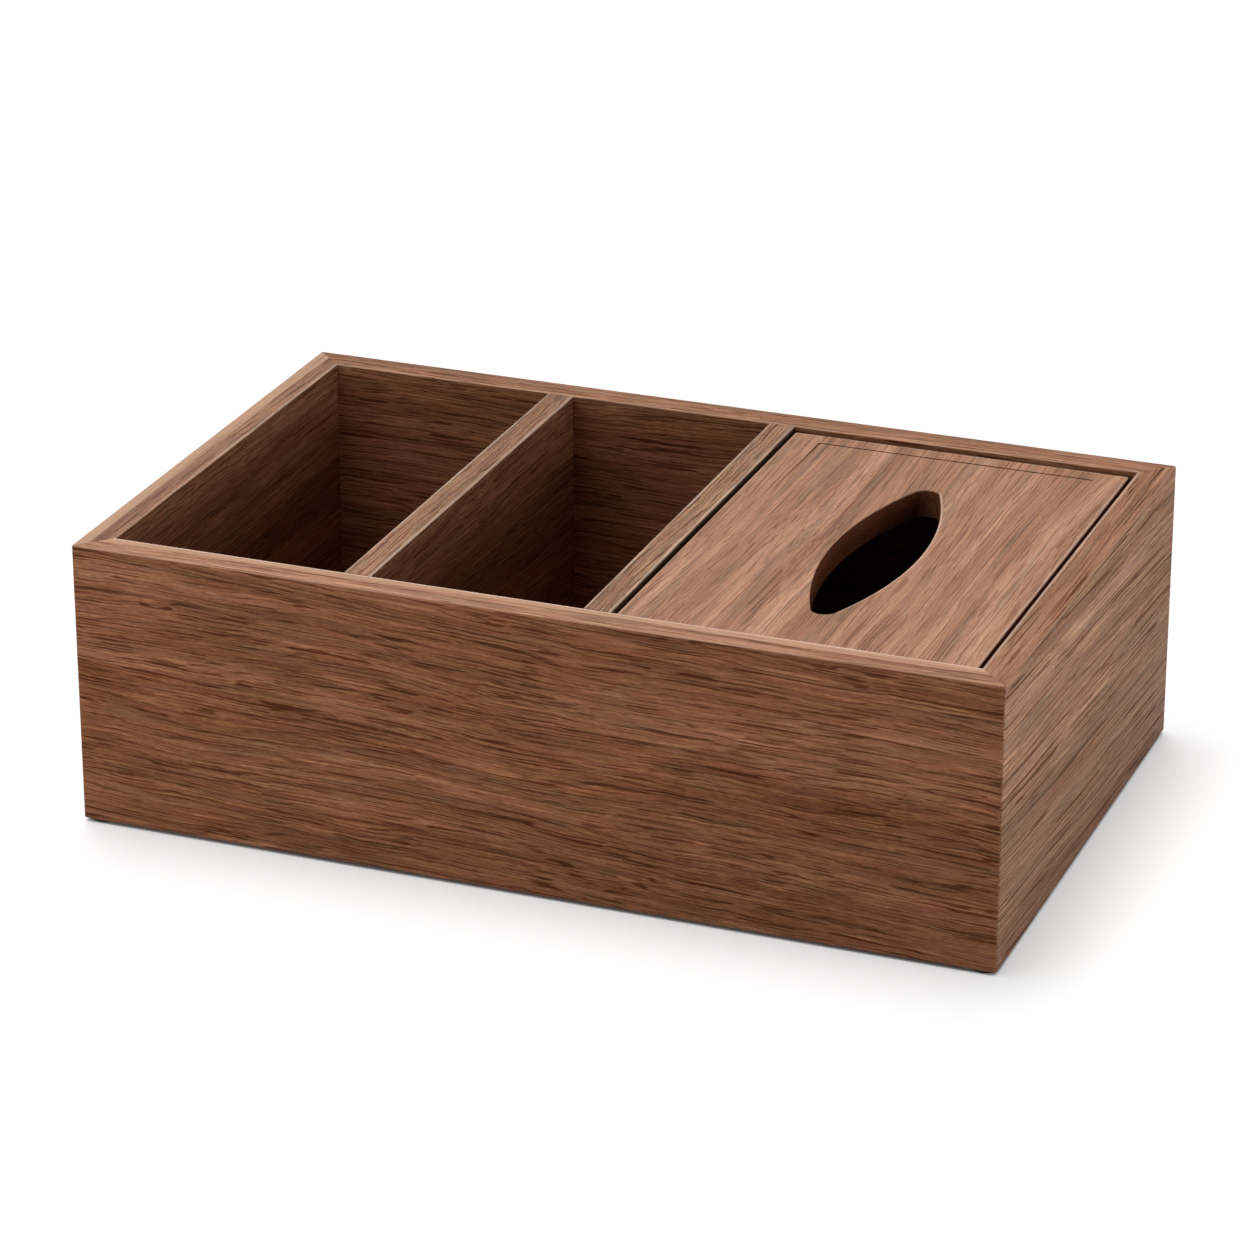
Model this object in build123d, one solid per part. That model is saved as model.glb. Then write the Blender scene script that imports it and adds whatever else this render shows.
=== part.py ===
from build123d import *
import os

# A walnut desk organizer: a mitred open box with two fixed dividers. A loose lid with a lens-shaped
# slot drops into the right-hand bay, which holds a pack of tissues.
# Millimetres. +X runs along the front to the right, +Y towards the back, +Z up.
# The origin is on the table, under the middle of the box.

# Overall size, feet included
WIDTH = 320.0
DEPTH = 200.0
HEIGHT = 100.0

# Boards and bays; the tissue bay takes the width that is left
WALL = 11.0
DIVIDER = 9.5
LEFT_BAY = 82.0
MIDDLE_BAY = 73.8

# Eased arrises
CORNER_RADIUS = 1.0
OUTER_EASE = 0.6
INNER_EASE = 0.5
DIVIDER_EASE = 0.5
LEDGE_CHAMFER = 0.5

# Base panel in its groove
BASE = 5.0
BASE_LIFT = 4.0
BASE_GROOVE_DEPTH = 5.0
BASE_GROOVE_PLAY = 0.1
BASE_EDGE_GAP = 0.5

# Loose splines inside the mitres, stopped short of the rim and of the base
SPLINE = 3.0
SPLINE_WIDTH = 8.0
SPLINE_STOP = 12.0
SPLINE_END_GAP = 0.4
GLUE_GAP = 0.05

# Dowels between the dividers and the front and back boards
DOWEL_DIAMETER = 5.0
DOWEL_LENGTH = 20.0
DOWEL_IN_WALL = 7.0
DOWEL_END_GAP = 0.5
DOWEL_MARGIN = 22.0

# Lid, as it lies in its recess
LID = 10.0
LID_RECESS = 1.2
LID_GAP_LEFT = 1.0
LID_GAP_RIGHT = 2.0
LID_GAP_FRONT = 1.0
LID_GAP_BACK = 2.0
LID_CORNER_RADIUS = 1.0
LID_EASE = 0.6
LID_CHAMFER = 0.6

# Tissue slot in the lid, a lens with rounded tips
SLOT_LENGTH = 114.5
SLOT_WIDTH = 30.0
SLOT_TIP_RADIUS = 4.5
SLOT_OFFSET_X = 0.4
SLOT_OFFSET_Y = -5.7

# Fine scored line on the lid: one leg along the back, and one down the left that runs out
SCORE_WIDTH = 0.8
SCORE_DEPTH = 0.5
SCORE_INSET_SIDE = 11.3
SCORE_INSET_BACK = 7.5
SCORE_RUN_OUT = 42.0

# Ledges under the lid
LEDGE_WIDTH = 8.0
LEDGE_HEIGHT = 8.0

# Thin rubber feet under the corners
FOOT = 1.2
FOOT_DIAMETER = 9.0
FOOT_EASE = 0.4

# Places that follow from the sizes above
INSIDE_WIDTH = WIDTH - 2 * WALL
INSIDE_DEPTH = DEPTH - 2 * WALL
WALL_HEIGHT = HEIGHT - FOOT
BASE_BOTTOM = FOOT + BASE_LIFT
BASE_TOP = BASE_BOTTOM + BASE
LEFT_DIVIDER_X = -INSIDE_WIDTH / 2 + LEFT_BAY
RIGHT_DIVIDER_X = LEFT_DIVIDER_X + DIVIDER + MIDDLE_BAY
TISSUE_BAY_LEFT = RIGHT_DIVIDER_X + DIVIDER
TISSUE_BAY_RIGHT = INSIDE_WIDTH / 2
TISSUE_BAY_MIDDLE = (TISSUE_BAY_LEFT + TISSUE_BAY_RIGHT) / 2
TISSUE_BAY_WIDTH = TISSUE_BAY_RIGHT - TISSUE_BAY_LEFT
LID_WIDTH = TISSUE_BAY_WIDTH - LID_GAP_LEFT - LID_GAP_RIGHT
LID_DEPTH = INSIDE_DEPTH - LID_GAP_FRONT - LID_GAP_BACK
LID_X = TISSUE_BAY_LEFT + LID_GAP_LEFT + LID_WIDTH / 2
LID_Y = -INSIDE_DEPTH / 2 + LID_GAP_FRONT + LID_DEPTH / 2
LID_TOP = HEIGHT - LID_RECESS
LID_BOTTOM = LID_TOP - LID
SPLINE_BOTTOM = BASE_TOP + SPLINE_STOP
SPLINE_TOP = HEIGHT - SPLINE_STOP
DOWEL_HEIGHTS = (BASE_TOP + DOWEL_MARGIN, HEIGHT - DOWEL_MARGIN)

ON_FLOOR = (Align.CENTER, Align.CENTER, Align.MIN)
CORNERS = {
    "front_left": (-1, -1),
    "front_right": (1, -1),
    "back_left": (-1, 1),
    "back_right": (1, 1),
}
DIVIDERS = {
    "left_divider": LEFT_DIVIDER_X + DIVIDER / 2,
    "right_divider": RIGHT_DIVIDER_X + DIVIDER / 2,
}


def wall_ring():
    """All four walls as one ring, with its arrises eased and the groove for the base cut."""
    block = Pos(0, 0, FOOT) * Box(WIDTH, DEPTH, WALL_HEIGHT, align=ON_FLOOR)
    block = fillet(block.edges().filter_by(Axis.Z), CORNER_RADIUS)
    ends = block.faces().filter_by(Axis.Z)
    block = fillet(ends.edges(), OUTER_EASE)
    ring = block - Pos(0, 0, FOOT) * Box(INSIDE_WIDTH, INSIDE_DEPTH, WALL_HEIGHT, align=ON_FLOOR)
    rim = ring.faces().sort_by(Axis.Z)[-1]
    ring = fillet(rim.inner_wires()[0].edges(), INNER_EASE)
    groove = Box(
        INSIDE_WIDTH + 2 * BASE_GROOVE_DEPTH,
        INSIDE_DEPTH + 2 * BASE_GROOVE_DEPTH,
        BASE + BASE_GROOVE_PLAY,
        align=ON_FLOOR,
    )
    return ring - Pos(0, 0, BASE_BOTTOM) * groove


def mitre_cell(length, reach):
    """The space of one wall, seen from the front: it ends in a 45-degree mitre plane on each side."""
    near = length / 2 + WALL
    far = length / 2 - 2 * WALL
    front = -reach / 2 - WALL
    inside = -reach / 2 + 2 * WALL
    outline = Polyline((-near, front), (near, front), (far, inside), (-far, inside), close=True)
    return extrude(make_face(outline), amount=HEIGHT)


def spline(corner, play, end_gap):
    """A strip across one mitre, round at both ends, made larger all over for its slot."""
    side, end = corner
    middle = Vector(
        side * (WIDTH - WALL) / 2,
        end * (DEPTH - WALL) / 2,
        (SPLINE_BOTTOM + SPLINE_TOP) / 2,
    )
    mitre = Plane(middle, x_dir=(0, 0, 1), z_dir=(side, -end, 0))
    outline = SlotOverall(SPLINE_TOP - SPLINE_BOTTOM + 2 * play, SPLINE + 2 * play)
    return extrude(mitre * outline, amount=SPLINE_WIDTH / 2 + end_gap, both=True)


def dowel(x, end, z):
    """A dowel through the joint between a divider and the front or back board."""
    pin = Cylinder(DOWEL_DIAMETER / 2, DOWEL_LENGTH, align=ON_FLOOR)
    start = INSIDE_DEPTH / 2 + DOWEL_IN_WALL
    return Pos(x, end * start, z) * Rot(X=end * 90) * pin


def dowel_hole(x, end, z):
    """The hole for that dowel, drilled into both boards."""
    bore = Cylinder(
        DOWEL_DIAMETER / 2 + GLUE_GAP,
        DOWEL_LENGTH + 2 * DOWEL_END_GAP,
        align=ON_FLOOR,
    )
    start = INSIDE_DEPTH / 2 + DOWEL_IN_WALL + DOWEL_END_GAP
    return Pos(x, end * start, z) * Rot(X=end * 90) * bore


def dowel_places(x):
    """The four dowels of one divider: two at each end, one low and one high."""
    return [(x, end, z) for end in (-1, 1) for z in DOWEL_HEIGHTS]


def walls():
    """The four boards, cut apart along the mitres, with the slots and holes for what joins them."""
    ring = wall_ring()
    for corner in CORNERS.values():
        ring -= spline(corner, GLUE_GAP, SPLINE_END_GAP)
    for x in DIVIDERS.values():
        for place in dowel_places(x):
            ring -= dowel_hole(*place)
    sides = {
        "front_board": (WIDTH, DEPTH, 0),
        "right_end_board": (DEPTH, WIDTH, 90),
        "back_board": (WIDTH, DEPTH, 180),
        "left_end_board": (DEPTH, WIDTH, 270),
    }
    return {
        name: ring & Rot(Z=turn) * mitre_cell(length, reach)
        for name, (length, reach, turn) in sides.items()
    }


def base_panel():
    """The bottom, loose at its edges in the groove so that the wood can move."""
    overlap = 2 * (BASE_GROOVE_DEPTH - BASE_EDGE_GAP)
    panel = Box(INSIDE_WIDTH + overlap, INSIDE_DEPTH + overlap, BASE, align=ON_FLOOR)
    return Pos(0, 0, BASE_BOTTOM) * panel


def divider(x):
    """A board across the box, standing on the base and flush with the rim."""
    board = Pos(x, 0, BASE_TOP) * Box(DIVIDER, INSIDE_DEPTH, HEIGHT - BASE_TOP, align=ON_FLOOR)
    top = board.faces().sort_by(Axis.Z)[-1]
    board = fillet(top.edges().filter_by(Axis.Y), DIVIDER_EASE)
    for place in dowel_places(x):
        board -= dowel_hole(*place)
    return board


def slot_outline():
    """The lens: two equal arcs, rounded where they meet, as long and as wide as stated."""
    half_length = SLOT_LENGTH / 2
    half_width = SLOT_WIDTH / 2
    tip = SLOT_TIP_RADIUS
    side = ((half_length - tip) ** 2 + half_width**2 - tip**2) / (2 * (half_width - tip))
    shift = side - half_width
    lens = Pos(shift, 0) * Circle(side) & Pos(-shift, 0) * Circle(side)
    return fillet(lens.vertices(), tip)


def score_lines():
    """The two legs of the scored line, cut from the lid's upper face: the left one gets shallower."""
    left = -LID_WIDTH / 2 + SCORE_INSET_SIDE
    back = LID_DEPTH / 2 - SCORE_INSET_BACK
    back_leg = extrude(
        Pos(0, back) * Rectangle(-2 * left + SCORE_WIDTH, SCORE_WIDTH), amount=-SCORE_DEPTH
    )
    run_out = Polyline(
        (back, 0),
        (back, -SCORE_DEPTH),
        (back - SCORE_WIDTH / 2, -SCORE_DEPTH),
        (back - SCORE_RUN_OUT, 0),
        close=True,
    )
    left_leg = extrude(Plane.YZ * make_face(run_out), amount=SCORE_WIDTH / 2, both=True)
    return back_leg + Pos(left, 0, 0) * left_leg


def lid():
    """The drop-in board with the tissue slot: arrises rounded above and chamfered underneath."""
    outline = RectangleRounded(LID_WIDTH, LID_DEPTH, LID_CORNER_RADIUS)
    outline -= Pos(SLOT_OFFSET_X, SLOT_OFFSET_Y) * slot_outline()
    board = extrude(outline, amount=LID)
    board = fillet(board.faces().sort_by(Axis.Z)[-1].edges(), LID_EASE)
    board = chamfer(board.faces().sort_by(Axis.Z)[0].edges(), LID_CHAMFER)
    board -= Pos(0, 0, LID) * score_lines()
    return Pos(LID_X, LID_Y, LID_BOTTOM) * board


def ledge(width, depth, x, y):
    """A strip under the lid, its long arrises chamfered."""
    strip = Box(width, depth, LEDGE_HEIGHT, align=(Align.CENTER, Align.CENTER, Align.MAX))
    long_way = Axis.X if width > depth else Axis.Y
    strip = chamfer(strip.edges().filter_by(long_way), LEDGE_CHAMFER)
    return Pos(x, y, LID_BOTTOM) * strip


def ledges():
    """Front and back strips across the bay, side strips between them."""
    along_y = (INSIDE_DEPTH - LEDGE_WIDTH) / 2
    along_x = (TISSUE_BAY_WIDTH - LEDGE_WIDTH) / 2
    between = INSIDE_DEPTH - 2 * LEDGE_WIDTH
    return {
        "front_lid_ledge": ledge(TISSUE_BAY_WIDTH, LEDGE_WIDTH, TISSUE_BAY_MIDDLE, -along_y),
        "back_lid_ledge": ledge(TISSUE_BAY_WIDTH, LEDGE_WIDTH, TISSUE_BAY_MIDDLE, along_y),
        "left_lid_ledge": ledge(LEDGE_WIDTH, between, TISSUE_BAY_MIDDLE - along_x, 0),
        "right_lid_ledge": ledge(LEDGE_WIDTH, between, TISSUE_BAY_MIDDLE + along_x, 0),
    }


def foot(corner):
    """A rubber dot stuck under a corner, in the middle of the mitre, its lower edge rounded."""
    side, end = corner
    dot = Cylinder(FOOT_DIAMETER / 2, FOOT, align=ON_FLOOR)
    dot = fillet(dot.edges().sort_by(Axis.Z)[0], FOOT_EASE)
    return Pos(side * (WIDTH - WALL) / 2, end * (DEPTH - WALL) / 2, 0) * dot


pieces = walls()
pieces["base_panel"] = base_panel()
for name, x in DIVIDERS.items():
    pieces[name] = divider(x)
    pieces[name + "_dowels"] = Compound(children=[dowel(*place) for place in dowel_places(x)])
for name, corner in CORNERS.items():
    pieces[name + "_spline"] = spline(corner, 0, 0)
    pieces[name + "_foot"] = foot(corner)
pieces.update(ledges())
pieces["lid"] = lid()

os.makedirs("parts", exist_ok=True)
for name, piece in pieces.items():
    export_step(piece, f"parts/{name}.step")
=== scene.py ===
"""A walnut tissue box organizer: the finish of every piece, and the studio that it stands in."""

import math

import bpy
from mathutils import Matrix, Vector


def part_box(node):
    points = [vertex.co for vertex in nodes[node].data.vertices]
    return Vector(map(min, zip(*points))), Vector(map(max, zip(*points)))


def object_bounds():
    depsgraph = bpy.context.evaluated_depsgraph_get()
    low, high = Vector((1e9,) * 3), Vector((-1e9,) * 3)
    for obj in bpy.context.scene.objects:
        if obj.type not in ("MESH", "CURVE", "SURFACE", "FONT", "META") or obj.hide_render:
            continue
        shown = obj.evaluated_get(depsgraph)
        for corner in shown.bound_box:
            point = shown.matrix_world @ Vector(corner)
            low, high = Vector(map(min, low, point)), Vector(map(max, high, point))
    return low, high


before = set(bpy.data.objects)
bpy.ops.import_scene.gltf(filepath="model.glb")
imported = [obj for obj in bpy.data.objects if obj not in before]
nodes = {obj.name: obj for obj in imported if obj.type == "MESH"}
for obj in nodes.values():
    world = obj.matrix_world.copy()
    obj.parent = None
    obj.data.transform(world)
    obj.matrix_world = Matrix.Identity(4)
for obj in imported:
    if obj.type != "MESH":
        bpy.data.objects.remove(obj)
cad_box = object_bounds()

# Camera, fitted to the outer corners of the box in the photo
VIEW_AZIMUTH = 21.00
VIEW_ELEVATION = 23.15
VIEW_DISTANCE = 1.6557
VIEW_TARGET = Vector((-0.0032, 0.0009, 0.0546))
VIEW_LENS = 140.2
SENSOR_WIDTH = 36.0

# Lamps: where each shines from, how wide it looks, and how much it gives a face square to it
KEY_FROM = Vector((-0.19, 0.05, 1.00))
KEY_WIDTH = math.radians(24)
KEY_LEVEL = 0.57
BACK_FROM = Vector((-0.19, 0.45, 1.00))
BACK_WIDTH = math.radians(24)
BACK_LEVEL = 0.32
FRONT_FROM = Vector((-0.30, -0.68, 0.36))
FRONT_SIZE = 0.55
FRONT_LEVEL = 0.275
SIDE_FROM = Vector((0.95, -0.20, 0.12))
SIDE_WIDTH = math.radians(36)
SIDE_LEVEL = 0.22
SKY_LEVEL = 0.03

# A lit card on the right, no taller than the box, so that it lights the end board and not the bays
CARD_CENTRE = Vector((0.50, -0.05, 0.045))
CARD_FACING = Vector((-1.0, 0.0, 0.0))
CARD_LENGTH = 0.70
CARD_HEIGHT = 0.08
CARD_GLOW = 2.9

# Floor: what it throws back, how it looks, and how dark it is near the box, from hidden to open sky
FLOOR_SIZE = 12.0
FLOOR_BOUNCE = 0.50
FLOOR_SHADE = 0.42
FLOOR_GLOW = 0.64
CONTACT_REACH = 0.04
CONTACT_SAMPLES = 8
CONTACT_SHADES = [(0.0, 0.0), (0.25, 0.05), (0.45, 0.80), (1.0, 1.0)]

# Walnut, in linear colour
WALNUT_DARK = (0.190, 0.064, 0.025, 1.0)
WALNUT_MID = (0.335, 0.136, 0.066, 1.0)
WALNUT_LIGHT = (0.500, 0.232, 0.126, 1.0)
WALNUT_TONES = [(0.20, WALNUT_DARK), (0.50, WALNUT_MID), (0.80, WALNUT_LIGHT)]
WALNUT_SMOKE = (0.64, 0.70, 0.72, 1.0)
WALNUT_LINE = (0.36, 0.27, 0.20, 1.0)
WALNUT_PALE_LINE = (1.30, 1.36, 1.30, 1.0)
# Paler colour of worn edges, also standing in for their painted highlight
WALNUT_WORN_HIGHLIGHT = (0.80, 0.62, 0.50, 1.0)
WALNUT_SAP = (0.58, 0.35, 0.22, 1.0)
WALNUT_HEART = (0.17, 0.075, 0.040, 1.0)
UNTINTED = (1.0, 1.0, 1.0)

# Birch and rubber, in linear colour
BIRCH_LIGHT = (0.62, 0.45, 0.27, 1.0)
BIRCH_DARK = (0.47, 0.31, 0.16, 1.0)
BIRCH_TONES = [(0.30, BIRCH_DARK), (0.65, BIRCH_LIGHT)]
RUBBER_DARK = (0.010, 0.010, 0.009, 1.0)
RUBBER_DUSTY = (0.030, 0.028, 0.026, 1.0)

# Grain runs along the board, and is measured in millimetres
METRES_PER_MM = 0.001
ALONG_X = 0.0
ALONG_Y = math.pi / 2
UPRIGHT = (0.0, math.pi / 2, 0.0)
NO_TURN = (0.0, 0.0, 0.0)
ORIGIN = (0.0, 0.0, 0.0)

# Figure of the walnut: the length along the grain and the width across it of one wave, streak or line
SWEEP_SIZE = (150.0, 45.0)
RIPPLE_SIZE = (50.0, 16.0)
WAVER_SIZE = (11.0, 3.5)
BAND_SIZE = (170.0, 8.5)
STREAK_SIZE = (70.0, 2.0)
SMOKE_SIZE = (70.0, 4.5)
HUE_SIZE = (22.0, 2.2)
FIBRE_SIZE = (2.6, 0.5)
LINE_BEND_SIZE = (60.0, 4.0)
LINE_BEND = 5.0
LINE_PIECE_WIDTH = 1.1
HAIR_SIZE = (40.0, 0.62)
PALE_LINE_SIZE = (30.0, 0.8)
PALE_LINE_SHIFT = (0.0, 31.7, 0.0)
UNIT_SIZE = (1.0, 1.0)

# Noise runs from 0 to 1: its middle, and the spans over which noise or a wave brings in a line or patch
NOISE_MIDDLE = 0.5
NOISE_SPAN = (0.3, 0.7)
LINE_PIECE_SPAN = (0.36, 0.60)
LINE_CREST_SPAN = (0.25, 0.95)
HAIR_SPAN = (0.41, 0.29)
PALE_LINE_SPAN = (0.55, 0.72)
SMOKE_SPAN = (0.52, 0.66)

# How much each part of the figure counts in the colour, the roughness and the relief, which is in metres
FINE_LINE_DEPTH = 0.75
FIBRE_DEPTH = 0.45
HUE_GAIN = (2.0, 2.0, 2.0)
HUE_SHARE = 0.15
WALNUT_ROUGHNESS = (0.42, 0.54)
LINE_ROUGHNESS = 0.15
STREAK_HEIGHT = 0.35
WALNUT_RELIEF = 0.00004

# Rounded arrises, paled by wear and a painted highlight: how far a normal leaves the axes, how level an edge
# is, and how patchy the wear and highlight
ARRIS_ROUNDING = (0.990, 0.900)
ARRIS_LEVEL = (0.10, 0.35)
ARRIS_PATCH_SIZE = (35.0, 3.0)
ARRIS_WEAR_HIGHLIGHT_RANGE = (0.55, 1.0)

# Masks of a board for painted sheen, light and shade: spans of a normal's part along an axis, and of
# millimetres above the ground
TOP_SPAN = (0.3, 0.8)
SIDE_SPAN = (0.6, 0.2)
RIGHT_SPAN = (0.5, 0.8)
LOW_SHADE_SPAN = (85.0, 10.0)
GAP_SHADE_SPAN = (96.5, 97.5)

# Worn line with a painted highlight, and strips of other wood on a board's top: millimetres from an edge, and
# how uneven they are
WORN_HIGHLIGHT_LINE_SPAN = (1.25, 0.75)
WORN_HIGHLIGHT_PATCH_SIZE = (45.0, 2.0)
WORN_HIGHLIGHT_PATCH_SPAN = (0.32, 0.62)
WORN_HIGHLIGHT_PATCH_RANGE = (0.35, 1.0)
FINGER_SIZE = (90.0, 1.6)
STRIP_FINGERS = 9.0
STRIP_SPAN = (10.5, 7.5)
INNER_STRIP_FINGERS = 7.0
INNER_STRIP_SPAN = (9.0, 6.5)

# The tissue slot in the lid, in millimetres: two arcs and rounded tips, off the lid's middle
SLOT_OFFSET = Vector((0.4, -5.7, 0.0))
SLOT_HALF_LENGTH = 57.25
SLOT_HALF_WIDTH = 15.0
SLOT_TIP_RADIUS = 4.5
SLOT_TIP_REACH = SLOT_HALF_LENGTH - SLOT_TIP_RADIUS
SLOT_ARC_RADIUS = (
    (SLOT_TIP_REACH**2 + SLOT_HALF_WIDTH**2 - SLOT_TIP_RADIUS**2) / (2 * (SLOT_HALF_WIDTH - SLOT_TIP_RADIUS))
)
SLOT_ARC_CENTRE = (SLOT_HALF_WIDTH - SLOT_ARC_RADIUS, 0.0, 0.0)
SLOT_LINE_START = (-0.3, 0.0)
SLOT_LINE_END = (1.0, 0.5)
SLOT_LINE_REACH = (57.0, 52.0)

# Birch: the size and strength of its streaks and flecks
BIRCH_STREAK_SIZE = (40.0, 1.2)
BIRCH_FLECK_SIZE = (6.0, 0.4)
BIRCH_FLECK_SPAN = (0.42, 0.28)
BIRCH_FLECK_DEPTH = 0.35
BIRCH_ROUGHNESS = (0.60, 0.75)
BIRCH_RELIEF = 0.00003
BIRCH_SHEEN = 0.15

# Rubber: the size of its moulded grit and of the dust on it
RUBBER_GRIT_SIZE = (0.25, 0.25)
RUBBER_DUST_SIZE = (4.0, 4.0)
RUBBER_DUST_SPAN = (0.4, 0.7)
RUBBER_ROUGHNESS = (0.70, 0.88)
RUBBER_RELIEF = 0.00005
RUBBER_SHEEN = 0.3

# Worn edges of the upper faces, with a painted highlight: the middle of a rectangle in metres, and its half
# size in millimetres
PAST_THE_ENDS = 1000.0


def edges_of(node, long_edges_only=False):
    """The rectangle round a node's upper face, or only its long edges where they run front to back."""
    low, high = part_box(node)
    middle = (low + high) / 2
    half_size = (high - low) / 2 / METRES_PER_MM
    half_length = PAST_THE_ENDS if long_edges_only else half_size.y
    return (middle.x, middle.y, 0.0), (half_size.x, half_length, 0.0)


OUTLINE_MIDDLE = ORIGIN
BOX_OUTLINE = (cad_box[1].x / METRES_PER_MM, cad_box[1].y / METRES_PER_MM, 0.0)
FRONT_LOW, FRONT_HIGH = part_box("front_board")
WALL = (FRONT_HIGH.y - FRONT_LOW.y) / METRES_PER_MM
BOX_OPENING = (OUTLINE_MIDDLE, (BOX_OUTLINE[0] - WALL, BOX_OUTLINE[1] - WALL, 0.0))
LEFT_DIVIDER_EDGES = edges_of("left_divider", long_edges_only=True)
RIGHT_DIVIDER_EDGES = edges_of("right_divider", long_edges_only=True)
LID_EDGES = edges_of("lid")
SLOT_MIDDLE = Vector(LID_EDGES[0]) + SLOT_OFFSET * METRES_PER_MM

# Kinds of socket of a node group
VECTOR = "NodeSocketVector"
VALUE = "NodeSocketFloat"
COLOUR = "NodeSocketColor"


def grey(level):
    """A plain grey, in linear colour."""
    return (level, level, level, 1.0)


def opaque(tint):
    """That tint as a full colour."""
    return tint + (1.0,)


class Graph:
    """Adds nodes to one node tree. An input takes a value, or the output of another node."""

    def __init__(self, tree):
        self.tree = tree

    def feed(self, socket, value):
        if isinstance(value, bpy.types.NodeSocket):
            self.tree.links.new(value, socket)
        else:
            socket.default_value = value

    def add(self, kind, inputs=None, **settings):
        made = self.tree.nodes.new(kind)
        for name, value in settings.items():
            setattr(made, name, value)
        for name, value in (inputs or {}).items():
            self.feed(made.inputs[name], value)
        return made

    def group(self, tree, inputs):
        """The outputs of a node group with those inputs."""
        return self.add("ShaderNodeGroup", inputs, node_tree=tree).outputs

    def math(self, operation, *values):
        return self.add("ShaderNodeMath", dict(enumerate(values)), operation=operation).outputs[0]

    def vector_math(self, operation, *values, output="Vector"):
        return self.add("ShaderNodeVectorMath", dict(enumerate(values)), operation=operation).outputs[output]

    def axes(self, vector):
        """The X, Y and Z of a vector."""
        return self.add("ShaderNodeSeparateXYZ", {"Vector": vector}).outputs

    def step(self, value, span, ends=(0.0, 1.0)):
        """Goes smoothly from one end to the other as the value passes over the span."""
        inputs = {
            "Value": value,
            "From Min": span[0],
            "From Max": span[1],
            "To Min": ends[0],
            "To Max": ends[1],
        }
        return self.add("ShaderNodeMapRange", inputs, interpolation_type="SMOOTHSTEP").outputs[0]

    def mix(self, factor, first, second, blend="MIX"):
        made = self.add("ShaderNodeMix", data_type="RGBA", blend_type=blend, clamp_factor=True)
        self.feed(made.inputs["Factor"], factor)
        self.feed(made.inputs[6], first)
        self.feed(made.inputs[7], second)
        return made.outputs[2]

    def mix_places(self, factor, first, second):
        made = self.add("ShaderNodeMix", data_type="VECTOR")
        self.feed(made.inputs["Factor"], factor)
        self.feed(made.inputs[4], first)
        self.feed(made.inputs[5], second)
        return made.outputs[1]

    def ramp(self, value, stops):
        """A colour for each position along the ramp."""
        made = self.add("ShaderNodeValToRGB", {"Fac": value})
        elements = made.color_ramp.elements
        while len(elements) < len(stops):
            elements.new(1.0)
        for element, (position, colour) in zip(elements, stops):
            element.position = position
            element.color = colour
        return made.outputs["Color"]

    def streaks(self, grain, size, detail=0.0, roughness=0.5):
        """Noise drawn out along the grain: size is the length and width of one streak."""
        length, width = size
        stretched = self.vector_math("MULTIPLY", grain, (1 / length, 1 / width, 1 / width))
        inputs = {"Vector": stretched, "Scale": 1.0, "Detail": detail, "Roughness": roughness}
        return self.add("ShaderNodeTexNoise", inputs).outputs

    def swing(self, noise):
        """How far the noise is from its middle."""
        return self.math("SUBTRACT", noise, NOISE_MIDDLE)

    def drift(self, grain, size, amount):
        """Moves the grain sideways by up to about that amount, in waves of that size."""
        waves = self.streaks(grain, size, detail=1.0)["Color"]
        waves = self.vector_math("SUBTRACT", waves, (NOISE_MIDDLE, NOISE_MIDDLE, NOISE_MIDDLE))
        sideways = self.add("ShaderNodeCombineXYZ", {"Y": amount, "Z": amount}).outputs[0]
        return self.vector_math("MULTIPLY_ADD", waves, sideways, grain)

    def hairlines(self, grain, size, span):
        """Thin lines along the grain where the noise passes over the span, tapered at their ends."""
        return self.step(self.streaks(grain, size)["Fac"], span)


def new_group(name, inputs, outputs):
    """An empty shader node group with those sockets, its graph, and its input and output nodes."""
    tree = bpy.data.node_groups.new(name, "ShaderNodeTree")
    for label, kind in inputs.items():
        tree.interface.new_socket(label, in_out="INPUT", socket_type=kind)
    for label, kind in outputs.items():
        tree.interface.new_socket(label, in_out="OUTPUT", socket_type=kind)
    graph = Graph(tree)
    return tree, graph, graph.add("NodeGroupInput").outputs, graph.add("NodeGroupOutput").inputs


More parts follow.
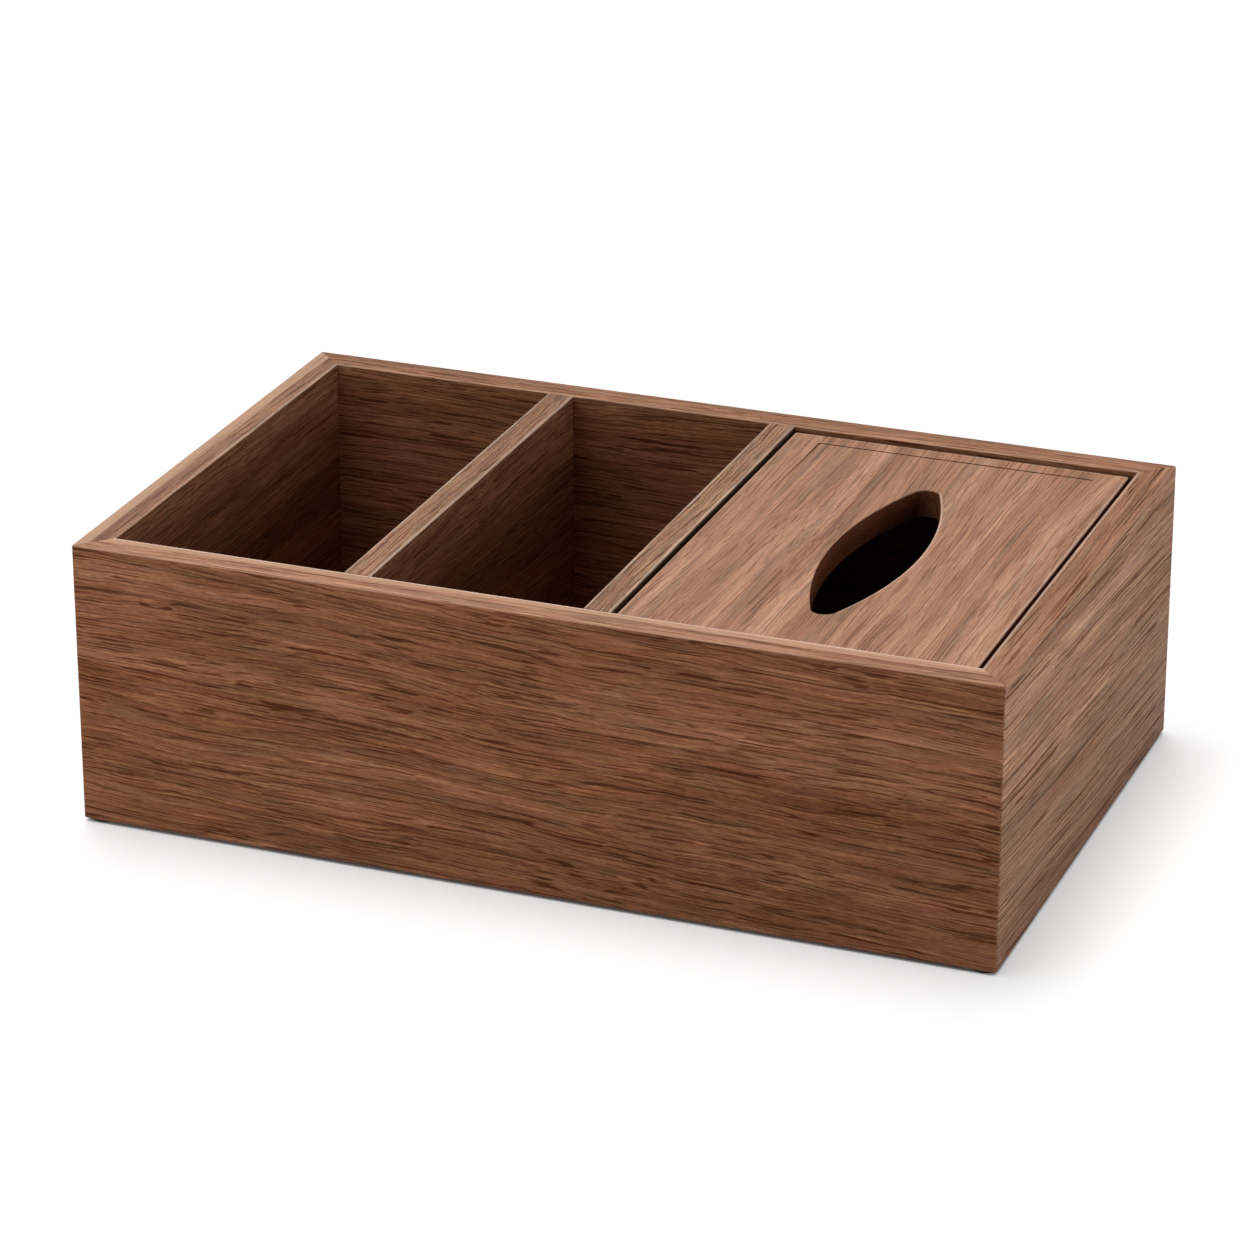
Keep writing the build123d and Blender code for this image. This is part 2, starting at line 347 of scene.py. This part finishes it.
def walnut_figure_group():
    """The figure of walnut: wandering bands and streaks, smoky patches, dark and pale hairlines."""
    tree, graph, given, result = new_group(
        "walnut_figure",
        {
            "Grain": VECTOR,
            "Sweep": VALUE,
            "Ripple": VALUE,
            "Waver": VALUE,
            "Spacing": VALUE,
            "Run": VALUE,
            "Bands": VALUE,
            "Streaks": VALUE,
            "Smoke": VALUE,
            "Lines": VALUE,
            "Pale Lines": VALUE,
            "Tone": COLOUR,
        },
        {"Color": COLOUR, "Roughness": VALUE, "Height": VALUE},
    )
    grain = graph.drift(given["Grain"], SWEEP_SIZE, given["Sweep"])
    grain = graph.drift(grain, RIPPLE_SIZE, given["Ripple"])
    grain = graph.drift(grain, WAVER_SIZE, given["Waver"])

    bands = graph.streaks(grain, BAND_SIZE, detail=1.0)["Fac"]
    streaks = graph.streaks(grain, STREAK_SIZE, detail=2.0, roughness=0.6)["Fac"]
    smoke = graph.streaks(grain, SMOKE_SIZE, detail=2.0, roughness=0.6)["Fac"]
    hue = graph.streaks(grain, HUE_SIZE, detail=2.0, roughness=0.7)["Color"]
    fibres = graph.streaks(grain, FIBRE_SIZE, detail=1.0)["Fac"]

    # Fine dark lines, evenly spaced but bent and broken into pieces
    sideways = graph.axes(grain)
    across = graph.math("ADD", sideways["Y"], sideways["Z"])
    bends = graph.streaks(grain, LINE_BEND_SIZE, detail=1.0)["Fac"]
    across = graph.math("MULTIPLY_ADD", bends, LINE_BEND, across)
    turns = graph.math("DIVIDE", across, given["Spacing"])
    wave = graph.math("SINE", graph.math("MULTIPLY", turns, 2 * math.pi))
    piece_size = {"X": given["Run"], "Y": LINE_PIECE_WIDTH, "Z": LINE_PIECE_WIDTH}
    piece_size = graph.add("ShaderNodeCombineXYZ", piece_size).outputs[0]
    pieces = graph.streaks(graph.vector_math("DIVIDE", grain, piece_size), UNIT_SIZE, detail=1.0)["Fac"]
    pieces = graph.step(pieces, LINE_PIECE_SPAN)
    fine_lines = graph.math("MULTIPLY", graph.step(wave, LINE_CREST_SPAN), pieces)

    hairs = graph.hairlines(grain, HAIR_SIZE, HAIR_SPAN)
    lines = graph.math("MAXIMUM", graph.math("MULTIPLY", fine_lines, FINE_LINE_DEPTH), hairs)
    lines = graph.math("MULTIPLY", lines, given["Lines"])
    beside = graph.vector_math("ADD", grain, PALE_LINE_SHIFT)
    pale_lines = graph.hairlines(beside, PALE_LINE_SIZE, PALE_LINE_SPAN)
    pale_lines = graph.math("MULTIPLY", pale_lines, given["Pale Lines"])

    tone = graph.math("MULTIPLY_ADD", graph.swing(streaks), given["Streaks"], NOISE_MIDDLE)
    tone = graph.math("MULTIPLY_ADD", graph.swing(bands), given["Bands"], tone)
    fibres = graph.math("MULTIPLY", graph.swing(fibres), given["Lines"])
    tone = graph.math("MULTIPLY_ADD", fibres, FIBRE_DEPTH, tone)
    colour = graph.ramp(tone, WALNUT_TONES)
    hue = graph.vector_math("MULTIPLY", hue, HUE_GAIN)
    colour = graph.mix(graph.math("MULTIPLY", given["Lines"], HUE_SHARE), colour, hue, "MULTIPLY")
    smoky = graph.math("MULTIPLY", graph.step(smoke, SMOKE_SPAN), given["Smoke"])
    colour = graph.mix(smoky, colour, WALNUT_SMOKE, "MULTIPLY")
    colour = graph.mix(pale_lines, colour, WALNUT_PALE_LINE, "MULTIPLY")
    colour = graph.mix(lines, colour, WALNUT_LINE, "MULTIPLY")
    colour = graph.mix(1.0, colour, given["Tone"], "MULTIPLY")

    rough = graph.step(streaks, NOISE_SPAN, WALNUT_ROUGHNESS)
    rough = graph.math("MULTIPLY_ADD", lines, LINE_ROUGHNESS, rough)
    height = graph.math("SUBTRACT", graph.math("MULTIPLY", streaks, STREAK_HEIGHT), lines)
    graph.feed(result["Color"], colour)
    graph.feed(result["Roughness"], rough)
    graph.feed(result["Height"], height)
    return tree


def arris_wear_highlight_group():
    """How far a rounded edge is paled, in patches, by wear and a painted highlight; upright edges less than
    level ones.
    """
    tree, graph, given, result = new_group(
        "arris_wear_highlight",
        {"Grain": VECTOR, "Upright Edges": VALUE},
        {"Wear Highlight": VALUE},
    )
    normal = graph.add("ShaderNodeNewGeometry").outputs["Normal"]
    sides = graph.axes(graph.vector_math("ABSOLUTE", normal))
    square = graph.math("MAXIMUM", graph.math("MAXIMUM", sides["X"], sides["Y"]), sides["Z"])
    rounding = graph.step(square, ARRIS_ROUNDING)
    level = graph.math("MAXIMUM", graph.step(sides["Z"], ARRIS_LEVEL), given["Upright Edges"])
    patches = graph.streaks(given["Grain"], ARRIS_PATCH_SIZE, detail=3.0)["Fac"]
    uneven = graph.step(patches, NOISE_SPAN, ARRIS_WEAR_HIGHLIGHT_RANGE)
    wear_and_highlight = graph.math("MULTIPLY", graph.math("MULTIPLY", rounding, level), uneven)
    graph.feed(result["Wear Highlight"], wear_and_highlight)
    return tree


def wear_and_painted_light_masks_group():
    """Masks for a board: its top, with a worn line that is partly a painted highlight, strips of other wood,
    and its sides, right faces, strip beside the lid and lower part, where sheen, light and shade are painted.
    """
    tree, graph, given, result = new_group(
        "wear_and_painted_light_masks",
        {"Place": VECTOR, "Grain": VECTOR, "Edge": VECTOR},
        {
            "Wear Highlight": VALUE,
            "Strip": VALUE,
            "Inner Strip": VALUE,
            "Top": VALUE,
            "Side": VALUE,
            "Right": VALUE,
            "Gap Shade": VALUE,
            "Low": VALUE,
        },
    )
    place = graph.vector_math("ABSOLUTE", given["Place"])
    beyond = []
    for rectangle in (given["Edge"], BOX_OUTLINE):
        past = graph.axes(graph.vector_math("SUBTRACT", place, rectangle))
        beyond.append(graph.math("MAXIMUM", past["X"], past["Y"]))
    from_edge = graph.math("ABSOLUTE", beyond[0])
    from_outline = graph.math("MULTIPLY", beyond[1], -1.0)
    height = graph.axes(given["Place"])["Z"]
    facing = graph.axes(graph.add("ShaderNodeNewGeometry").outputs["Normal"])
    top = graph.step(facing["Z"], TOP_SPAN)
    right = graph.step(facing["X"], RIGHT_SPAN)

    # A worn line along the top edges, partly a painted highlight
    patches = graph.streaks(given["Grain"], WORN_HIGHLIGHT_PATCH_SIZE, detail=3.0)["Fac"]
    uneven = graph.step(patches, WORN_HIGHLIGHT_PATCH_SPAN, WORN_HIGHLIGHT_PATCH_RANGE)
    worn_and_highlight_line = graph.math("MULTIPLY", graph.step(from_edge, WORN_HIGHLIGHT_LINE_SPAN), top)
    fingers = graph.streaks(given["Grain"], FINGER_SIZE, detail=3.0)["Fac"]
    strip = graph.math("MULTIPLY_ADD", fingers, STRIP_FINGERS, from_outline)
    inner_strip = graph.math("MULTIPLY_ADD", fingers, INNER_STRIP_FINGERS, from_edge)
    graph.feed(result["Wear Highlight"], graph.math("MULTIPLY", worn_and_highlight_line, uneven))
    graph.feed(result["Strip"], graph.math("MULTIPLY", graph.step(strip, STRIP_SPAN), top))
    graph.feed(result["Inner Strip"], graph.math("MULTIPLY", graph.step(inner_strip, INNER_STRIP_SPAN), top))
    # The top, sides, right faces, strip beside the lid and lower part are where sheen, light and shade get
    # painted
    graph.feed(result["Top"], top)
    graph.feed(result["Side"], graph.step(graph.math("ABSOLUTE", facing["Z"]), SIDE_SPAN))
    graph.feed(result["Right"], right)
    graph.feed(result["Gap Shade"], graph.math("MULTIPLY", right, graph.step(height, GAP_SHADE_SPAN)))
    graph.feed(result["Low"], graph.step(height, LOW_SHADE_SPAN))
    return tree


def new_material(name):
    """A material, its graph and its shader."""
    material = bpy.data.materials.new(name)
    material.use_nodes = True
    return material, Graph(material.node_tree), material.node_tree.nodes["Principled BSDF"]


def grain_space(graph, rotation, place, draw=1.0):
    """Millimetres with X along the grain, drawn out that many times, for a board cut from that place."""
    where = graph.add("ShaderNodeTexCoord").outputs["Object"]
    scale = (METRES_PER_MM * draw, METRES_PER_MM, METRES_PER_MM)
    inputs = {"Vector": where, "Location": place, "Rotation": rotation, "Scale": scale}
    return graph.add("ShaderNodeMapping", inputs, vector_type="TEXTURE").outputs[0]


def relief(graph, shader, height, depth):
    """Raises the surface by that height, times a depth in metres."""
    bump = graph.add("ShaderNodeBump", {"Strength": 1.0, "Distance": depth, "Height": height})
    graph.feed(shader.inputs["Normal"], bump.outputs["Normal"])


def slot_edge_wear_highlight(graph):
    """A line along the right edge of the tissue slot, paled by wear where the tissues are pulled over it and
    by a painted highlight.
    """
    place = grain_space(graph, NO_TURN, SLOT_MIDDLE)
    flat = graph.vector_math("MULTIPLY", place, (1.0, 1.0, 0.0))
    from_centre = graph.vector_math("DISTANCE", flat, SLOT_ARC_CENTRE, output="Value")
    from_edge = graph.math("SUBTRACT", from_centre, SLOT_ARC_RADIUS)
    start = graph.step(from_edge, SLOT_LINE_START)
    line = graph.math("MULTIPLY", start, graph.step(from_edge, SLOT_LINE_END))
    along = graph.math("ABSOLUTE", graph.axes(flat)["Y"])
    return graph.math("MULTIPLY", line, graph.step(along, SLOT_LINE_REACH))


def oiled_walnut(
    name,
    turn,
    place,
    tilt=0.0,
    draw=1.0,
    sweep=9.0,
    ripple=2.6,
    waver=0.9,
    spacing=1.35,
    run=14.0,
    bands=0.5,
    streaks=0.7,
    smoke=0.5,
    lines=1.0,
    pale_lines=1.0,
    tone=1.0,
    tint=UNTINTED,
    top_painted_sheen=UNTINTED,
    side_painted_shade=UNTINTED,
    right_painted_light_and_shade=UNTINTED,
    gap_painted_shade=1.0,
    low_painted_shade=1.0,
    sheen=0.05,
    edges=BOX_OPENING,
    worn_and_highlight=0.0,
    arris=0.1,
    upright=0.25,
    strip=0.0,
    strip_colour=WALNUT_SAP,
    inner_strip=0.0,
    slot_wear_highlight=0.0,
):
    """Oiled walnut for one board: how its grain runs, where it was cut, its figure, tones and wear, and the
    sheen, light, shade and highlights painted on it.
    """
    material, graph, shader = new_material(name)
    level = grain_space(graph, (0.0, 0.0, turn), place, draw)
    tilted = grain_space(graph, (0.0, math.radians(tilt), turn), place, draw)
    middle, half_size = edges
    masks = graph.group(
        wear_and_painted_light_masks, {"Place": grain_space(graph, NO_TURN, middle), "Grain": level, "Edge": half_size}
    )
    grain = graph.mix_places(masks["Top"], tilted, level)
    figure = {
        "Grain": grain,
        "Sweep": sweep,
        "Ripple": ripple,
        "Waver": waver,
        "Spacing": spacing,
        "Run": run,
        "Bands": bands,
        "Streaks": streaks,
        "Smoke": smoke,
        "Lines": lines,
        "Pale Lines": pale_lines,
        "Tone": opaque(tuple(tone * part for part in tint)),
    }
    wood = graph.group(walnut_figure, figure)
    # Painted sheen: upward faces get a tint of their own, on most boards paler and greyer
    colour = graph.mix(masks["Top"], wood["Color"], opaque(top_painted_sheen), "MULTIPLY")
    # Painted shade: the sides are darkened, on the lid its edges and slot walls
    colour = graph.mix(masks["Side"], colour, opaque(side_painted_shade), "MULTIPLY")
    # Painted light and shade on faces turned to the right: lighter on the right end board, darker on the lid
    # and the right divider
    colour = graph.mix(masks["Right"], colour, opaque(right_painted_light_and_shade), "MULTIPLY")
    # Painted shade in the strip beside the lid, at the top of the right divider's right face
    colour = graph.mix(masks["Gap Shade"], colour, grey(gap_painted_shade), "MULTIPLY")
    # Painted shade: darker towards the bottom
    colour = graph.mix(masks["Low"], colour, grey(low_painted_shade), "MULTIPLY")
    colour = graph.mix(graph.math("MULTIPLY", masks["Strip"], strip), colour, strip_colour)
    colour = graph.mix(graph.math("MULTIPLY", masks["Inner Strip"], inner_strip), colour, WALNUT_SAP)

    # Wear and a painted highlight: paler rounded edges, a worn line near the top edges and a line along the
    # slot
    rounded = graph.group(arris_wear_highlight, {"Grain": grain, "Upright Edges": upright})
    wear_and_highlight = graph.math("MULTIPLY", masks["Wear Highlight"], worn_and_highlight)
    wear_and_highlight = graph.math("MAXIMUM", wear_and_highlight, graph.math("MULTIPLY", rounded["Wear Highlight"], arris))
    if slot_wear_highlight:
        slot_wear_highlight_line = graph.math("MULTIPLY", slot_edge_wear_highlight(graph), masks["Top"])
        wear_and_highlight = graph.math("MAXIMUM", wear_and_highlight, graph.math("MULTIPLY", slot_wear_highlight_line, slot_wear_highlight))
    graph.feed(shader.inputs["Base Color"], graph.mix(wear_and_highlight, colour, WALNUT_WORN_HIGHLIGHT))
    graph.feed(shader.inputs["Roughness"], wood["Roughness"])
    relief(graph, shader, wood["Height"], WALNUT_RELIEF)
    shader.inputs["Specular IOR Level"].default_value = sheen
    return material


def bare_birch(name, rotation, place):
    """Pale birch with a faint straight grain, for the splines and dowels inside the joints."""
    material, graph, shader = new_material(name)
    grain = grain_space(graph, rotation, place)
    streaks = graph.streaks(grain, BIRCH_STREAK_SIZE, detail=4.0, roughness=0.7)["Fac"]
    flecks = graph.hairlines(grain, BIRCH_FLECK_SIZE, BIRCH_FLECK_SPAN)
    colour = graph.ramp(streaks, BIRCH_TONES)
    colour = graph.mix(graph.math("MULTIPLY", flecks, BIRCH_FLECK_DEPTH), colour, BIRCH_DARK)
    graph.feed(shader.inputs["Base Color"], colour)
    graph.feed(shader.inputs["Roughness"], graph.step(streaks, NOISE_SPAN, BIRCH_ROUGHNESS))
    relief(graph, shader, graph.math("SUBTRACT", streaks, flecks), BIRCH_RELIEF)
    shader.inputs["Specular IOR Level"].default_value = BIRCH_SHEEN
    return material


def matt_rubber():
    """Dark rubber with a fine moulded skin and a little dust."""
    material, graph, shader = new_material("matt_rubber")
    skin = grain_space(graph, NO_TURN, ORIGIN)
    grit = graph.streaks(skin, RUBBER_GRIT_SIZE, detail=2.0)["Fac"]
    dust = graph.streaks(skin, RUBBER_DUST_SIZE, detail=4.0, roughness=0.7)["Fac"]
    colour = graph.mix(graph.step(dust, RUBBER_DUST_SPAN), RUBBER_DARK, RUBBER_DUSTY)
    graph.feed(shader.inputs["Base Color"], colour)
    graph.feed(shader.inputs["Roughness"], graph.step(dust, NOISE_SPAN, RUBBER_ROUGHNESS))
    relief(graph, shader, grit, RUBBER_RELIEF)
    shader.inputs["Specular IOR Level"].default_value = RUBBER_SHEEN
    return material


def dress(node, material):
    """Gives a CAD node that one material."""
    slots = nodes[node].data.materials
    slots.clear()
    slots.append(material)


def photo_camera():
    """The camera at the photo's viewing angle."""
    azimuth = math.radians(VIEW_AZIMUTH)
    elevation = math.radians(VIEW_ELEVATION)
    back = Vector((
        math.sin(azimuth) * math.cos(elevation),
        -math.cos(azimuth) * math.cos(elevation),
        math.sin(elevation),
    ))
    data = bpy.data.cameras.new("photo_camera")
    data.lens = VIEW_LENS
    data.sensor_width = SENSOR_WIDTH
    camera = bpy.data.objects.new("photo_camera", data)
    camera.location = VIEW_TARGET + VIEW_DISTANCE * back
    camera.rotation_euler = (-back).to_track_quat("-Z", "Y").to_euler()
    bpy.context.scene.collection.objects.link(camera)
    bpy.context.scene.camera = camera


def soft_lamp(name, shines_from, width, level):
    """A wide soft lamp, far enough off to light the floor evenly."""
    data = bpy.data.lights.new(name, "SUN")
    data.angle = width
    data.energy = math.pi * level
    lamp = bpy.data.objects.new(name, data)
    lamp.location = shines_from
    lamp.rotation_euler = (-shines_from).to_track_quat("-Z", "Y").to_euler()
    bpy.context.scene.collection.objects.link(lamp)


def near_lamp(name, place, facing, shape, size, power):
    """A flat lamp near the box, so that it lights the near end of the box more than the far end."""
    data = bpy.data.lights.new(name, "AREA")
    data.shape = shape
    data.size, data.size_y = size
    data.energy = power
    lamp = bpy.data.objects.new(name, data)
    lamp.location = place
    lamp.rotation_euler = facing.to_track_quat("-Z", "Z").to_euler()
    bpy.context.scene.collection.objects.link(lamp)


def seen_directly(graph):
    """1 for what the camera sees, straight or in a reflection, and 0 for light that falls on things."""
    path = graph.add("ShaderNodeLightPath")
    seen = graph.math("MAXIMUM", path.outputs["Is Camera Ray"], path.outputs["Is Glossy Ray"])
    return graph.math("MAXIMUM", seen, path.outputs["Is Transmission Ray"])


def pale_floor():
    """A wide white floor that keeps the box's shadow, darkest where the box stands on it."""
    half = FLOOR_SIZE / 2
    mesh = bpy.data.meshes.new("floor")
    corners = [(-half, -half, 0), (half, -half, 0), (half, half, 0), (-half, half, 0)]
    mesh.from_pydata(corners, [], [(0, 1, 2, 3)])
    floor = bpy.data.objects.new("floor", mesh)
    bpy.context.scene.collection.objects.link(floor)

    material, graph, shader = new_material("pale_floor")
    material.node_tree.nodes.remove(shader)
    bounce = graph.add("ShaderNodeBsdfDiffuse", {"Color": grey(FLOOR_BOUNCE)})
    shade = graph.add("ShaderNodeBsdfDiffuse", {"Color": grey(FLOOR_SHADE)})
    occlusion = graph.add("ShaderNodeAmbientOcclusion", {"Distance": CONTACT_REACH}, samples=CONTACT_SAMPLES)
    contact = [(position, grey(level)) for position, level in CONTACT_SHADES]
    contact = graph.ramp(occlusion.outputs["AO"], contact)
    glow = graph.add("ShaderNodeEmission", {"Color": contact, "Strength": FLOOR_GLOW})
    shown = graph.add("ShaderNodeAddShader", {0: shade.outputs[0], 1: glow.outputs[0]})
    inputs = {0: seen_directly(graph), 1: bounce.outputs[0], 2: shown.outputs[0]}
    both = graph.add("ShaderNodeMixShader", inputs)
    graph.feed(material.node_tree.nodes["Material Output"].inputs["Surface"], both.outputs[0])
    mesh.materials.append(material)


def pale_world():
    """Plain soft light from all round, and white where it is seen."""
    world = bpy.data.worlds.new("pale_world")
    world.use_nodes = True
    graph = Graph(world.node_tree)
    background = world.node_tree.nodes["Background"]
    background.inputs["Color"].default_value = grey(1.0)
    strength = graph.add("ShaderNodeMix", data_type="FLOAT")
    graph.feed(strength.inputs["Factor"], seen_directly(graph))
    strength.inputs["A"].default_value = SKY_LEVEL
    strength.inputs["B"].default_value = 1.0
    graph.feed(background.inputs["Strength"], strength.outputs["Result"])
    bpy.context.scene.world = world


walnut_figure = walnut_figure_group()
arris_wear_highlight = arris_wear_highlight_group()
wear_and_painted_light_masks = wear_and_painted_light_masks_group()

# Every board has its own place in the tree, and the quieter boards a weaker figure
BOARDS = {
    # Its lower part is painted darker as shade, and its top gets a painted sheen
    "front_board": dict(
        turn=ALONG_X, place=(1.448, 1.144, 0.792), tilt=2.4,
        tone=0.98, top_painted_sheen=(1.12, 1.31, 1.54), low_painted_shade=0.94, sheen=0.06,
        worn_and_highlight=0.85, strip=0.1, inner_strip=0.68,
    ),
    "back_board": dict(
        turn=ALONG_X, place=(-0.604, 2.188, 1.784),
        tone=0.94, top_painted_sheen=(1.20, 1.42, 1.60), sheen=0.06,
        worn_and_highlight=0.15, strip=0.4, strip_colour=WALNUT_HEART,
    ),
    "left_end_board": dict(
        turn=ALONG_Y, place=(0.874, -1.678, 1.046), bands=1.0,
        tone=0.88, top_painted_sheen=(0.88, 0.95, 0.99), sheen=0.2,
        worn_and_highlight=0.3, strip=0.7,
    ),
    # Its outer right face is painted lighter, as light, and its lower part painted darker, as shade
    "right_end_board": dict(
        turn=ALONG_Y, place=(1.1, 2.6, -0.4), tilt=3.6, draw=1.7,
        sweep=8.0, ripple=2.0, waver=0.6, spacing=1.5, streaks=0.6, smoke=0.4,
        tone=0.90, tint=(1.0, 1.12, 1.25), top_painted_sheen=(1.05, 1.13, 1.20),
        right_painted_light_and_shade=(1.48, 1.63, 1.70), low_painted_shade=0.76, sheen=0.04,
        worn_and_highlight=0.55,
    ),
    "left_divider": dict(
        turn=ALONG_Y, place=(-0.389, 3.733, 0.719), lines=1.1,
        tone=0.78, top_painted_sheen=(1.09, 1.27, 1.38), sheen=0.15,
        edges=LEFT_DIVIDER_EDGES, worn_and_highlight=0.38, arris=0.5,
    ),
    # Its right face is painted darker as shade, most of all in the strip beside the lid
    "right_divider": dict(
        turn=ALONG_Y, place=(0.711, -3.067, -0.381), lines=1.2,
        tone=0.96, tint=(1.0, 1.25, 1.42), right_painted_light_and_shade=(0.8, 0.68, 0.6), gap_painted_shade=0.18, sheen=0.14,
        edges=RIGHT_DIVIDER_EDGES, worn_and_highlight=0.4, arris=0.3,
    ),
    # The lid's edges and slot walls are painted darker, as shade
    "lid": dict(
        turn=ALONG_Y, place=(2.474, 1.822, 0.946), draw=1.3,
        sweep=14.0, waver=0.7, spacing=1.25, run=11.0, bands=0.8, streaks=0.6,
        smoke=0.7, lines=0.68, pale_lines=0.25,
        tone=1.13, tint=(1.0, 1.17, 1.32),
        side_painted_shade=(0.38, 0.27, 0.20), right_painted_light_and_shade=(0.95, 0.8, 0.75), sheen=0.16,
        edges=LID_EDGES, worn_and_highlight=0.3, arris=0.1, upright=0.0, slot_wear_highlight=0.42,
    ),
    # The base panel and the lid ledges are toned dark as painted shade, for the bottoms of the bays and the
    # gap round the lid
    "base_panel": dict(turn=ALONG_X, place=(4.1, 0.6, 0.8), tone=0.3),
    "front_lid_ledge": dict(turn=ALONG_X, place=(5.2, 0.1, 0.3), tone=0.6),
    "back_lid_ledge": dict(turn=ALONG_X, place=(6.3, 0.2, 0.5), tone=0.6),
    "left_lid_ledge": dict(turn=ALONG_Y, place=(0.1, 7.4, 0.7), tone=0.6),
    "right_lid_ledge": dict(turn=ALONG_Y, place=(0.5, 8.5, 0.9), tone=0.6),
}
for board, cut in BOARDS.items():
    dress(board, oiled_walnut("walnut_" + board, **cut))

SPLINE_PLACE = (0.4, 0.2, 0.9)
DOWEL_PLACE = (0.3, 0.8, 0.5)
spline_birch = bare_birch("birch_splines", UPRIGHT, SPLINE_PLACE)
for spline in ("front_left_spline", "front_right_spline", "back_left_spline", "back_right_spline"):
    dress(spline, spline_birch)
dowel_birch = bare_birch("birch_dowels", (0.0, 0.0, ALONG_Y), DOWEL_PLACE)
for dowels in ("left_divider_dowels", "right_divider_dowels"):
    dress(dowels, dowel_birch)
foot_rubber = matt_rubber()
for foot in ("front_left_foot", "front_right_foot", "back_left_foot", "back_right_foot"):
    dress(foot, foot_rubber)

photo_camera()
pale_floor()
pale_world()
soft_lamp("key_lamp", KEY_FROM, KEY_WIDTH, KEY_LEVEL)
soft_lamp("back_lamp", BACK_FROM, BACK_WIDTH, BACK_LEVEL)
front_power = math.pi**2 * FRONT_FROM.length_squared * FRONT_LEVEL
near_lamp("front_lamp", FRONT_FROM, -FRONT_FROM, "DISK", (FRONT_SIZE, FRONT_SIZE), front_power)
soft_lamp("side_lamp", SIDE_FROM, SIDE_WIDTH, SIDE_LEVEL)
card_power = math.pi * CARD_LENGTH * CARD_HEIGHT * CARD_GLOW
near_lamp("low_card", CARD_CENTRE, CARD_FACING, "RECTANGLE", (CARD_LENGTH, CARD_HEIGHT), card_power)
bpy.context.scene.view_settings.view_transform = "Standard"
